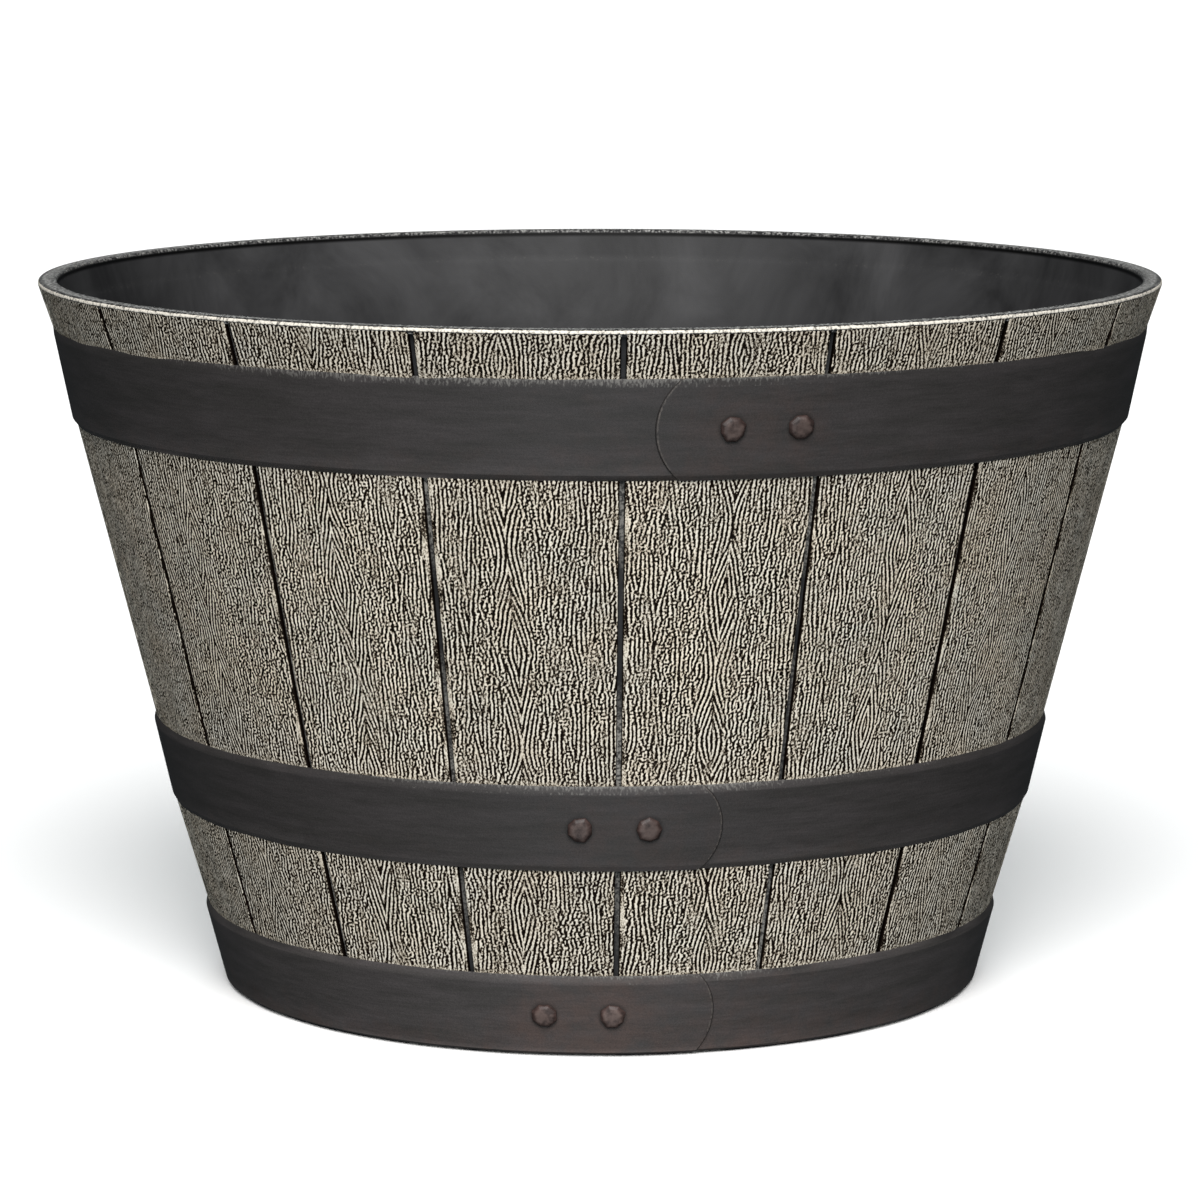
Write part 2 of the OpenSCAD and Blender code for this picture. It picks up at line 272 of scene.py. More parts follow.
# %% [markdown]
# ## The grain
# The moulding's grain is its most striking feature: ridges about 2 mm apart that run down each stave,
# fork and wander, meet in nested points along the middle of the board as in flat-sawn oak, and break
# into short dashes in places. Such a pattern can't be drawn by a noise texture alone, because its
# lines have to follow a direction and join up. It is grown as fingerprints are in the textbooks: random
# noise is filtered again and again by small stripes turned along the wanted direction, and the stripes
# that fit together survive. A board is 98 by 224 mm at 0.35 mm a point.

# %% Grow a board of grain
GRAIN_STEP = 0.35
GRAIN_PITCH = 1.9
BOARD_COLUMNS, BOARD_ROWS = 280, 640
DIRECTIONS = 16
board_across, board_down = np.meshgrid(
    (np.arange(BOARD_COLUMNS) - BOARD_COLUMNS / 2) * GRAIN_STEP, np.arange(BOARD_ROWS) * GRAIN_STEP)
wave_across, wave_down = np.meshgrid(
    np.fft.rfftfreq(BOARD_COLUMNS, GRAIN_STEP), np.fft.fftfreq(BOARD_ROWS, GRAIN_STEP))


def filtered(board, response):
    return np.fft.irfft2(np.fft.rfft2(board) * response, s=board.shape)


def stripes(direction, width, length):
    """How much of each wave a small patch of stripes in this direction lets through."""
    out = 0
    for side in (1, -1):
        across = wave_across * math.cos(direction) + wave_down * math.sin(direction) - side / GRAIN_PITCH
        along = wave_down * math.cos(direction) - wave_across * math.sin(direction)
        out = out + np.exp(-2 * math.pi**2 * ((width * across)**2 + (length * along)**2))
    return out


LONG_STRIPES = [stripes(math.pi * k / DIRECTIONS, 1.35, 3.1) for k in range(DIRECTIONS)]
SHORT_STRIPES = [stripes(math.pi * k / DIRECTIONS, 1.0, 1.7) for k in range(DIRECTIONS)]
DASHES = np.exp(-((wave_across - 1 / GRAIN_PITCH) / 0.25)**2 - (wave_down / 0.24)**2)
CRUMBS = np.exp(-((np.hypot(wave_across, wave_down) - 0.62) / 0.22)**2)
BLUR = np.exp(-2 * math.pi**2 * 9 * (wave_across**2 + wave_down**2))


def cloud(chance, width, length):
    """Soft random patches of this size in mm, with a mean of 0 and a spread of 1."""
    response = np.exp(-2 * math.pi**2 * ((width * wave_across)**2 + (length * wave_down)**2))
    board = filtered(chance.standard_normal((BOARD_ROWS, BOARD_COLUMNS)), response)
    return board / board.std()


def mirrored(board, middle):
    """The board reflected in a line down it."""
    columns = np.arange(BOARD_COLUMNS)[None, :]
    reflected = np.rint(2 * (middle / GRAIN_STEP + BOARD_COLUMNS / 2) - columns).astype(int)
    return np.take_along_axis(board, reflected % BOARD_COLUMNS, 1)


def grow_board(seed, torn, rounds=6):
    """One board of grain, with about this share of it broken into dashes and crumbs."""
    chance = np.random.default_rng(seed)
    broken = np.clip(torn + 0.35 * cloud(chance, 2.2, 6), 0.2, 1)
    broken = broken * np.clip((42 - np.abs(board_across)) / 8, 0.4, 1)
    lean = np.radians(3.6) * board_across / 40 + np.radians(2.2) * cloud(chance, 3, 12)
    lean = lean + broken * np.radians(14) * cloud(chance, 1.2, 2.5)
    points = []
    loose = 1
    # Nested points: a strong row near the middle of the board and a weaker one nearer an edge
    for reach, middle, share in ((6.5, chance.uniform(-8, 8), 1.0),
                                 (4, chance.choice([-1, 1]) * chance.uniform(20, 30), 0.5)):
        phase = board_down / chance.uniform(55, 95) + chance.uniform()
        turns = np.tanh(3 * np.sin(2 * math.pi * phase))
        phase = board_down[:, :1] / chance.uniform(120, 200) + chance.uniform()
        bend = np.sin(2 * math.pi * phase)
        middle = middle + 2 * bend
        off = board_across - middle
        near = share * np.exp(-(np.abs(off) / reach)**4)
        lean = lean * (1 - 0.85 * near) + near * np.tanh(off / 0.6) * turns * np.radians(18)
        broken = broken * (1 - 0.8 * near)
        loose = loose * (1 - 0.5 * near)
        points.append((middle, near))
    place = (lean / math.pi * DIRECTIONS) % DIRECTIONS
    board = chance.standard_normal((BOARD_ROWS, BOARD_COLUMNS))
    for turn in range(rounds):
        for middle, near in points:
            board = board * (1 - near / 2) + mirrored(board, middle) * near / 2
        waves = np.fft.rfft2(board)
        grown = 0
        for k in range(DIRECTIONS):
            apart = np.abs(place - k)
            share = np.clip(1 - np.minimum(apart, DIRECTIONS - apart), 0, 1)
            if share.max() == 0:
                continue
            drawn = np.fft.irfft2(waves * LONG_STRIPES[k], s=board.shape) * (1 - broken)
            drawn = drawn + np.fft.irfft2(waves * SHORT_STRIPES[k], s=board.shape) * broken / 2
            grown = grown + share * drawn
        strength = np.sqrt(np.clip(filtered(grown**2, BLUR), 1e-9, None))
        board = np.tanh(1.3 * grown / strength)
        if turn < rounds - 1:
            board = board + 0.15 * chance.standard_normal(board.shape)
    dashes = filtered(chance.standard_normal(board.shape), DASHES)
    crumbs = filtered(chance.standard_normal(board.shape), CRUMBS)
    board = board * (0.95 - 0.5 * broken) + loose * (0.15 + 0.6 * broken) * dashes / dashes.std()
    board = board + loose * (0.32 + 0.38 * broken) * crumbs / crumbs.std()
    # In patches of about 10 by 30 mm the wash lies thick and evens the grain out
    even = np.clip(0.08 + 0.24 * cloud(chance, 1.6, 5), 0, 0.6)
    return np.tanh(0.9 * board) * (1 - even) + 0.15 * even


TORN = (0.6, 0.6, 0.55, 0.7, 0.75, 0.95, 0.9, 0.7, 0.6)
BOARD_COUNT = len(TORN)
boards = [grow_board(40 + k, TORN[k]) for k in range(BOARD_COUNT)]
print("boards of grain:", len(boards), "spread", round(float(boards[0].std()), 2))

# %% [markdown]
# ## Stave finish
# The staves are polypropylene moulded black and then wiped with a pale grey-brown wash, which stays on
# the ridges and leaves the valleys dark. The height of the grain is kept on the mesh as an attribute,
# and a ramp turns it into paint. Soft patches make the wash cooler or warmer, as a hand-held cloth does.

# %% Weathered wash on moulded polypropylene
def weathered_wash():
    material, add = new_material("weathered_wash_on_polypropylene")
    place = add("TexCoord").outputs["Object"]
    grain, tone = (add("Attribute", attribute_name=name).outputs["Fac"]
                   for name in ("grain", "tone"))
    # Patches about 25 mm across, and flecks of 0.6 by 1 mm where the cloth missed
    patches = add("TexNoise", {"Vector": place, "Scale": 40, "Detail": 3})
    drawn = add("Mapping", {"Vector": place, "Scale": (1700, 1700, 1000)})
    flecks = add("TexNoise", {"Vector": drawn, "Scale": 1, "Detail": 2})
    ragged = add("Math", {0: flecks, 1: -0.5}, operation="ADD")
    height = add("Math", {0: ragged, 1: 0.85, 2: grain}, operation="MULTIPLY_ADD")
    paint = add("ValToRGB", {"Fac": height}, stops=[(0.18, "0b0502"), (0.45, "110b06"),
                             (0.515, "51463b"), (0.575, "a79f93"), (0.66, "dbd4c9"), (0.86, "f4efe6")])
    # The wash is thin in spots of 4 mm
    spots = add("TexNoise", {"Vector": place, "Scale": 260, "Detail": 3})
    thin = add("MapRange", {"Value": spots, "From Min": 0.32, "From Max": 0.62, "To Min": 0.92,
                            "To Max": 1.04})
    strength = add("Math", {0: thin, 1: tone}, operation="MULTIPLY")
    cool = add("Mix", {0: patches, 6: linear("f5ebdc"), 7: linear("e6ebec")}, data_type="RGBA")
    tinted = add("Mix", {0: 1.0, 6: paint, 7: cool}, data_type="RGBA", blend_type="MULTIPLY")
    toned = add("HueSaturation", {"Color": tinted, "Value": strength})
    shine = add("MapRange", {"Value": grain, "To Min": 0.55, "To Max": 0.72})
    skin = add("BsdfPrincipled", {"Base Color": toned, "Roughness": shine, "IOR": 1.49,
                                  "Specular IOR Level": 0.05})
    add("OutputMaterial", {"Surface": skin})
    return material


WASH = weathered_wash()

# %% [markdown]
# ## Staves
# Each stave is a slab that stands 2.2 mm off the wall behind it, so the gap to its neighbour is the
# groove. It shows in three lengths between the hoops. One flat set of slabs is made first, from grids
# whose edge is extruded back and closed, and every stave is a copy of it that is bent round the cone
# and carved with its own board of grain.

# %% A flat set of slabs
RIDGE = 0.10 * MM
VALLEY = -0.20 * MM
SLAB_BACK = -2.6 * MM
FINE_ACROSS, FINE_DOWN = ((0.46, 0.78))
LENGTHS = {"top": (0.3079, 0.3279), "body": (0.1266, 0.2650), "foot": (0.0375, 0.0890)}
MARGIN = 5 * MM
# Shares of the bake map's width: half of a slab's face, and the side folded out next to it
MAP_FACE, MAP_SIDE = 0.44, 0.06
# How far the upper and lower sides fold out, and the share of the map's height that the backs take
MAP_FOLD, MAP_BACK = 2.2 * MM, 0.02


def flat_slab(low, high, drawn_at):
    """A closed slab from x = -1 to 1 and from low to high, with its bake map drawn from this place up."""
    width = 2 * math.pi * stave_radius(high) / STAVE_COUNT - GROOVE_WIDTH
    columns = round(width / (FINE_ACROSS * MM))
    rows = round((high - low) / (FINE_DOWN * MM))
    bpy.ops.object.select_all(action="DESELECT")
    bpy.ops.mesh.primitive_grid_add(x_subdivisions=columns, y_subdivisions=rows, size=2)
    slab = bpy.context.object
    flat = read_points(slab.data)
    flat[:, 1] = (low + high) / 2 + flat[:, 1] * (high - low) / 2
    write_points(slab.data, flat)
    in_edit_mode(slab, bpy.ops.mesh.region_to_loop,
                 lambda: bpy.ops.mesh.extrude_region_move(
                     TRANSFORM_OT_translate={"value": (0, 0, SLAB_BACK)}),
                 bpy.ops.mesh.edge_face_add,
                 lambda: bpy.ops.mesh.select_all(action="SELECT"),
                 bpy.ops.mesh.normals_make_consistent)
    draw_bake_map(slab.data, low, high, drawn_at)
    return slab


def draw_bake_map(mesh, low, high, drawn_at):
    """The slab's face and its four sides unfolded, and its back at the foot of the map."""
    mesh.uv_layers.remove(mesh.uv_layers[0])
    layer = mesh.uv_layers.new(name="OFBake")
    corners = np.empty(len(mesh.loops), dtype=np.int32)
    mesh.loops.foreach_get("vertex_index", corners)
    points = read_points(mesh)
    behind = points[:, 2] < SLAB_BACK / 2
    grow = np.where(behind, MAP_SIDE, 0.0)
    across = 0.5 + points[:, 0] * (MAP_FACE + grow)
    middle, half = (low + high) / 2, (high - low) / 2
    push = np.where(behind, 1 + MAP_FOLD / half, 1.0)
    up = (drawn_at + half + (points[:, 1] - middle) * push) / MAP_HEIGHT
    places = np.stack([across[corners], up[corners]], 1)
    # The back is the one face with many corners. It is never seen, so all three share a thin strip
    back = max(mesh.polygons, key=lambda p: p.loop_total)
    span = slice(back.loop_start, back.loop_start + back.loop_total)
    places[span, 1] = MAP_BACK * (points[corners[span], 1] - low) / (high - low)
    layer.data.foreach_set("uv", places.astype(np.float32).ravel())


MAP_HEIGHT = sum(high - low for low, high in LENGTHS.values()) + 4 * MARGIN
slabs = []
drawn_at = MARGIN
for low, high in LENGTHS.values():
    slabs.append(flat_slab(low, high, drawn_at))
    drawn_at += high - low + MARGIN
flat_stave = joined(*slabs)
flat_stave.name = "flat_stave"
bpy.ops.object.shade_smooth_by_angle(angle=math.radians(50))
print("one stave has", len(flat_stave.data.vertices), "points")

# %% [markdown]
# Carving moves every point of the face in or out by the height of the grain there. The outermost
# columns drop back a little, so that the slab has the rounded edge of a moulding, and a plain strip is
# left beside some edges, where the real staves have one.

# %% Bend and carve the staves
# A board is read without the lengths that the hoops hide, which keeps it short
LENGTH_ENDS = sorted(z for ends in LENGTHS.values() for z in ends)
BOARD_PLACES = [0, 53, 56, 198, 201, 222]
# The wash runs over the edges raggedly, with a tooth every millimetre or so
TOOTH_PLACES = np.arange(0, 340, 0.9)


def read_board(board, across, down):
    """The board's height at places in mm, between its points in a straight line."""
    x = np.clip(across / GRAIN_STEP + BOARD_COLUMNS / 2, 0, BOARD_COLUMNS - 1.001)
    y = np.clip(down / GRAIN_STEP, 0, BOARD_ROWS - 1.001)
    x0, y0 = x.astype(int), y.astype(int)
    fx, fy = x - x0, y - y0
    upper = board[y0, x0] * (1 - fx) + board[y0, x0 + 1] * fx
    lower = board[y0 + 1, x0] * (1 - fx) + board[y0 + 1, x0 + 1] * fx
    return upper * (1 - fy) + lower * fy


def carve_stave(number):
    chance = np.random.default_rng(500 + number)
    piece = copy_of(flat_stave, f"stave_{number + 1:02d}")
    flat = read_points(piece.data)
    z = flat[:, 1]
    radius = stave_radius(z)
    half = math.pi / STAVE_COUNT * radius - GROOVE_WIDTH / 2
    across = flat[:, 0] * half
    face = flat[:, 2] > SLAB_BACK / 2
    board = boards[number % BOARD_COUNT]
    hand = 1 if number < STAVE_COUNT // 2 else -1
    shown = np.interp(z, LENGTH_ENDS, BOARD_PLACES)
    height = read_board(board, hand * across / MM, BOARD_PLACES[-1] - shown)
    inset = (half - np.abs(across)) / MM
    left, right = (np.interp(z / MM, TOOTH_PLACES, chance.uniform(0, 1, len(TOOTH_PLACES))**2)
                   for _ in range(2))
    ragged = inset - 0.2 * np.where(across > 0, right, left)
    # Plain strips of up to 3 mm beside the edges, wider and narrower down the board
    side = np.where(across > 0, chance.uniform(-1.5, 2.2), chance.uniform(-1.5, 2.2))
    side = side + 0.7 * np.sin(z / MM * 0.11 + 2 * number)
    plain = np.clip((side - inset) / 0.5, 0, 1)
    height = height * (1 - plain) + (0.12 + 0.2 * np.sin(z / MM * 0.21 + number)) * plain
    # It pooled in the last 2 mm above each hoop
    for low, high in LENGTHS.values():
        pooled = np.interp(z, [low - MM, low, low + 1.4 * MM, low + 3.2 * MM], [0, 0.8, 0.7, 0])
        height = height * (1 - pooled) + 0.16 * pooled
    height = height - 1.6 * np.clip(1 - ragged / 0.2, 0, 1)
    depth = VALLEY + (RIDGE - VALLEY) * (height + 1) / 2
    depth = depth - 0.5 * MM * np.clip(1 - inset / 0.8, 0, 1)**2
    off = np.where(face, depth, SLAB_BACK)
    turn = math.radians(FIRST_GROOVE + (number + 0.5) * 360 / STAVE_COUNT) + across / radius
    write_points(piece.data, np.stack(
        [(radius + off) * np.sin(turn), -(radius + off) * np.cos(turn), z], 1))
    # The strip above the upper hoop took a little less wash
    tone = chance.uniform(0.94, 1.03) * np.interp(z, [0.30, 0.31], [1, 0.93])
    write_attributes(piece.data, tone=tone, grain=np.where(face, np.clip((height + 1) / 2, 0, 1), 0))
    piece.data.materials.clear()
    piece.data.materials.append(WASH)
    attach(piece, "barrel")
    return piece


staves = [carve_stave(number) for number in range(STAVE_COUNT)]
bpy.data.objects.remove(flat_stave)
report(staves[0])

# %% [markdown]
# ## Tub
# Behind the staves is the wall that carries them, in one piece with the rim, the floor and the foot
# ring. It is a profile spun round the axis, as a rotational mould gives it: out along the underside,
# up the outside with a flat seat for each hoop, over the rounded rim and down the smooth inside. The
# drain holes are cut from the floor with a Boolean.

# %% Spin the tub
def arc(middle, radius, start, end, steps=6):
    turns = [math.radians(start + (end - start) * i / steps) for i in range(steps + 1)]
    return [(middle[0] + radius * math.cos(t), middle[1] + radius * math.sin(t)) for t in turns]


def wall(z, inset=2.2):
    """A point in mm this far behind the staves' face; without a number, at the bottom of the grooves."""
    return (float(stave_radius(z * MM)) / MM - inset, z)


def spun(name, outline, steps):
    """A profile of (radius, height) in mm, turned round the axis. Its edges on the axis are deleted."""
    bpy.ops.object.select_all(action="DESELECT")
    bpy.ops.mesh.primitive_circle_add(vertices=len(outline))
    piece = bpy.context.object
    piece.name = piece.data.name = name
    write_points(piece.data, [(r * MM, 0, z * MM) for r, z in outline])
    in_edit_mode(piece, lambda: bpy.ops.mesh.select_mode(type="EDGE"),
                 lambda: bpy.ops.mesh.select_all(action="DESELECT"))
    for edge in piece.data.edges:
        edge.select = all(abs(piece.data.vertices[v].co.x) < 1e-9 for v in edge.vertices)
    bpy.ops.object.mode_set(mode="EDIT")
    bpy.ops.mesh.delete(type="EDGE")
    bpy.ops.mesh.select_mode(type="VERT")
    bpy.ops.mesh.select_all(action="SELECT")
    bpy.ops.mesh.spin(steps=steps, angle=2 * math.pi, center=(0, 0, 0), axis=(0, 0, 1))
    bpy.ops.mesh.select_all(action="SELECT")
    bpy.ops.mesh.remove_doubles(threshold=1e-6)
    bpy.ops.mesh.normals_make_consistent()
    bpy.ops.object.mode_set(mode="OBJECT")
    return piece


def apply_modifier(piece, kind, **settings):
    modifier = piece.modifiers.new(kind.lower(), kind)
    for name, value in settings.items():
        setattr(modifier, name, value)
    select_only(piece)
    bpy.ops.object.modifier_apply(modifier=modifier.name)


# The middle of the rim's rounded outer corner
CORNER = (258.5, 328.5)
TUB_OUTLINE = [
    (0, 8), (60, 8), (140, 8), (163.1, 8), (164.1, 0), (174.1, 0), (174.9, 0.8), wall(37.5, 0.5),
    wall(37.5), wall(38.3), wall(88.3), wall(89), wall(89, 1.2), wall(126.6, 0.6), wall(126.6),
    wall(127.3), wall(264.4), wall(265), wall(265, 0.5), wall(307.9, 1.8), wall(307.9), wall(308.7),
    wall(327), wall(327, 0.35), wall(327.9, 0.35), *arc(CORNER, 1.5, -18.6, 90, 12), (256.7, 330),
    *arc((252.46, 328.8), 1.2, 90, 166), (251.1, 328.3), (250.98, 327.5), (250.7, 326.4),
    (248.61, 318), (248.21, 316.4), (247.76, 315.2), (247.2, 313.6), (241, 288.8), (235, 264.8),
    (220, 204.8), (205, 144.6), (190, 84.6), *arc((164.6, 24), 10, -14, -90), (150, 14), (60, 14),
    (0, 14)]
tub = spun("tub_wall", TUB_OUTLINE, 360)

DRAIN_HOLE = 16 * MM
DRAIN_CIRCLE = 100 * MM
cutters = []
for turn in (45, 135, 225, 315):
    bpy.ops.mesh.primitive_cylinder_add(vertices=64, radius=DRAIN_HOLE / 2, depth=0.03,
                                        location=around(turn, DRAIN_CIRCLE, 0.011))
    cutters.append(bpy.context.object)
drill = joined(*cutters[::-1])
apply_modifier(tub, "BOOLEAN", object=drill, operation="DIFFERENCE", solver="EXACT")
bpy.data.objects.remove(drill)
bpy.ops.object.shade_smooth_by_angle(angle=math.radians(30))
report(tub)

# %% [markdown]
# The inside is left as moulded: charcoal, half matt, with cloudy scuffs and a faint line of specks
# where the mould's parts met, 14 mm under the rim. The wash reaches over the rim, thin and flecked at
# its outer half and thicker further in. The first few centimetres of the inside are painted lighter,
# painted light that fades down the wall. A dark line of painted shade runs under the inner lip, and the
# outer corner is nearly white: rubbed paint with a painted highlight on it. Wash also ran down lengths
# of the grooves between the staves. Attributes say where each of these lies.

# %% Bare charcoal resin with a washed rim
def tub_resin():
    material, add = new_material("moulded_charcoal_polypropylene")
    place = add("TexCoord").outputs["Object"]
    marks = {name: add("Attribute", attribute_name=name).outputs["Fac"]
             for name in ("wash", "lip", "worn", "seam", "groove", "mould_line", "dust")}
    # Scuffs in 60 mm clouds, drawn out down the wall as when the tubs were stacked
    stretched = add("Mapping", {"Vector": place, "Location": (2.6, 0.8, 0), "Scale": (17, 17, 11)})
    clouds = add("TexNoise", {"Vector": stretched, "Detail": 5, "Roughness": 0.62, "Distortion": 0.6,
                              "Scale": 1})
    # Painted light: the top of the inside is made lighter, fading out deeper down the wall
    dusted = add("Math", {0: marks["dust"], 1: 0.2, 2: clouds}, operation="MULTIPLY_ADD")
    scuffs = add("ValToRGB", {"Fac": dusted}, stops=[(0.40, "171718"), (0.88, "424243")])
    specks = add("TexNoise", {"Vector": place, "Scale": 700, "Detail": 2})
    bits = add("MapRange", {"Value": specks, "From Min": 0.60, "From Max": 0.72})
    marked = add("Math", {0: bits, 1: marks["mould_line"]}, operation="MULTIPLY")
    specked = add("Mix", {0: marked, 6: scuffs, 7: linear("4c4a48")}, data_type="RGBA")
    # Flecks of 1.3 mm in the wash
    mottle = add("TexNoise", {"Vector": place, "Scale": 760, "Detail": 4, "Roughness": 0.6})
    # Wash ran down some lengths of the grooves between the staves, about 80 mm at a time
    ran = add("Mapping", {"Vector": place, "Scale": (30, 30, 13)})
    runs = add("TexNoise", {"Vector": ran, "Scale": 1, "Detail": 4})
    filled = add("MapRange", {"Value": runs, "From Min": 0.44, "From Max": 0.60, "To Max": 0.85})
    crusted = add("MapRange", {"Value": mottle, "From Min": 0.43, "From Max": 0.56, "To Min": 0.1})
    crust = add("Math", {0: crusted, 1: marks["groove"]}, operation="MULTIPLY")
    wet = add("Math", {0: filled, 1: crust}, operation="MULTIPLY")
    grooved = add("Mix", {0: wet, 6: specked, 7: linear("8f8c86")}, data_type="RGBA")
    thickness = add("Math", {0: marks["lip"], 1: 0.08, 2: mottle}, operation="MULTIPLY_ADD")
    washed = add("ValToRGB", {"Fac": thickness}, stops=[(0.50, "222223"), (0.74, "a5a4a1")])
    painted = add("Mix", {0: marks["wash"], 6: grooved, 7: washed}, data_type="RGBA")
    # The near-white outer corner: rubbed paint with a painted highlight along it
    ragged = add("Math", {0: mottle, 1: 1.4, 2: marks["worn"]}, operation="MULTIPLY_ADD")
    rubbed = add("MapRange", {"Value": ragged, "From Min": 1.42, "From Max": 1.72})
    base = add("Mix", {0: rubbed, 6: painted, 7: linear("dad4c8")}, data_type="RGBA")
    # Painted shade: a near-black line under the inner lip
    lined = add("Mix", {0: marks["seam"], 6: base, 7: linear("090909")}, data_type="RGBA")
    shine = add("MapRange", {"Value": clouds, "To Min": 0.42, "To Max": 0.60})
    # The mould was sandblasted, which leaves a fine pebbled skin of about 0.5 mm
    pebbles = add("TexNoise", {"Vector": place, "Scale": 1900, "Detail": 2})
    bump = add("Bump", {"Height": pebbles, "Strength": 0.25, "Distance": 0.0002})
    skin = add("BsdfPrincipled", {"Base Color": lined, "Roughness": shine, "IOR": 1.49,
                                  "Specular IOR Level": 0.12, "Normal": bump})
    add("OutputMaterial", {"Surface": skin})
    return material


points = read_points(tub.data)
reach = np.hypot(points[:, 0], points[:, 1]) / MM
level = points[:, 2] / MM
on_rim = (level > 326.9) & ((reach > 259) | (level > 328.4))
outer_turn = np.degrees(np.arctan2(level - CORNER[1], reach - CORNER[0]))
inside = (reach < 251.5) & (level > 14)
write_attributes(
    tub.data,
    wash=on_rim * np.interp(reach, [251.15, 251.28], [0, 1]),
    lip=np.interp(reach, [251.5, 252.6, 254, 257.4, 258.6], [0.5, 0.6, 1.6, 1.5, 0.1]),
    # Where the painted shade under the inner lip lies
    seam=(reach < 251.4) * np.interp(level, [326.5, 327.4, 328.4, 329], [0, 1, 1, 0]),
    # Where the outer corner's rubbed paint and painted highlight lie
    worn=(reach > 258.4) * on_rim * np.interp(outer_turn, [-18, -7, 44, 62], [0, 1, 1, 0]),
    groove=(level < 327.5) * (reach > stave_radius(level * MM) / MM - 3),
    mould_line=np.exp(-((level - 315.8) / 0.6)**2) * (reach < 250),
    # The painted light on the inside: full above 36 mm under the rim, gone by 62 mm
    dust=inside * np.interp(level, [268, 294], [0, 1]))
tub.data.materials.append(tub_resin())
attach(tub, "barrel")
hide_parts("barrel_shell")

# %% [markdown]
# ## Hoops
# A hoop is a flat strap round the staves, 2 mm thick, whose edges slope back to them. It is spun from
# its own section and its corners are bevelled. The lap is a second strip on top: it stands 1 mm proud
# at its rounded tip and sinks back into the hoop after 60 degrees. It is made flat from a grid, like
# the staves, and then bent round.

# %% Hoop sections
def hoop_face(hoop, z):
    """Radius of a hoop's outside, with the sloped edges that lead back to the staves."""
    low, high = hoop["low"], hoop["high"]
    proud = np.interp(z, [low, high], hoop["proud"])
    edge = np.interp(z, [low, low + hoop["slope"], high - TOP_SLOPE, high], [0, 1, 1, 0])
    return np.interp(z, [low, high], [stave_radius(low), stave_radius(high)]) + proud * edge


def flat_face(hoop, z):
    """The same without the slopes."""
    low, high = hoop["low"], hoop["high"]
    return np.interp(z, [low, high], [stave_radius(low) + hoop["proud"][0],
                                      stave_radius(high) + hoop["proud"][1]])


def lap_lift(beyond):
    """How far the lapped strip stands off the hoop, at an angle beyond its tip."""
    return LAP_STEP / math.sin(math.radians(LAP_ARC)) * np.cos(np.radians(90 - LAP_ARC + beyond))


def face_rows(hoop, count):
    low, high = hoop["low"], hoop["high"]
    inner = np.linspace(low + hoop["slope"], high - TOP_SLOPE, count)
    return [low, *inner[:-1], inner[-1] - 0.8 * MM, inner[-1], high]


def hoop_ring(name, hoop):
    rows = face_rows(hoop, 6)
    outside = [(float(hoop_face(hoop, z)) / MM, z / MM) for z in rows]
    inside = [(float(flat_face(hoop, z) - STRAP_THICKNESS) / MM, z / MM) for z in reversed(rows)]
    ring = spun(name, outside + inside, 400)
    apply_modifier(ring, "BEVEL", width=0.35 * MM, segments=2, limit_method="ANGLE",
                   angle_limit=math.radians(8))
    none = np.zeros(len(ring.data.vertices))
    write_attributes(ring.data, edge=none, gap=none)
    return ring


# The lap's grid is fine round its rivets: how far, and its step, in mm
FINE_REACH, FINE_STEP = 9, 0.75


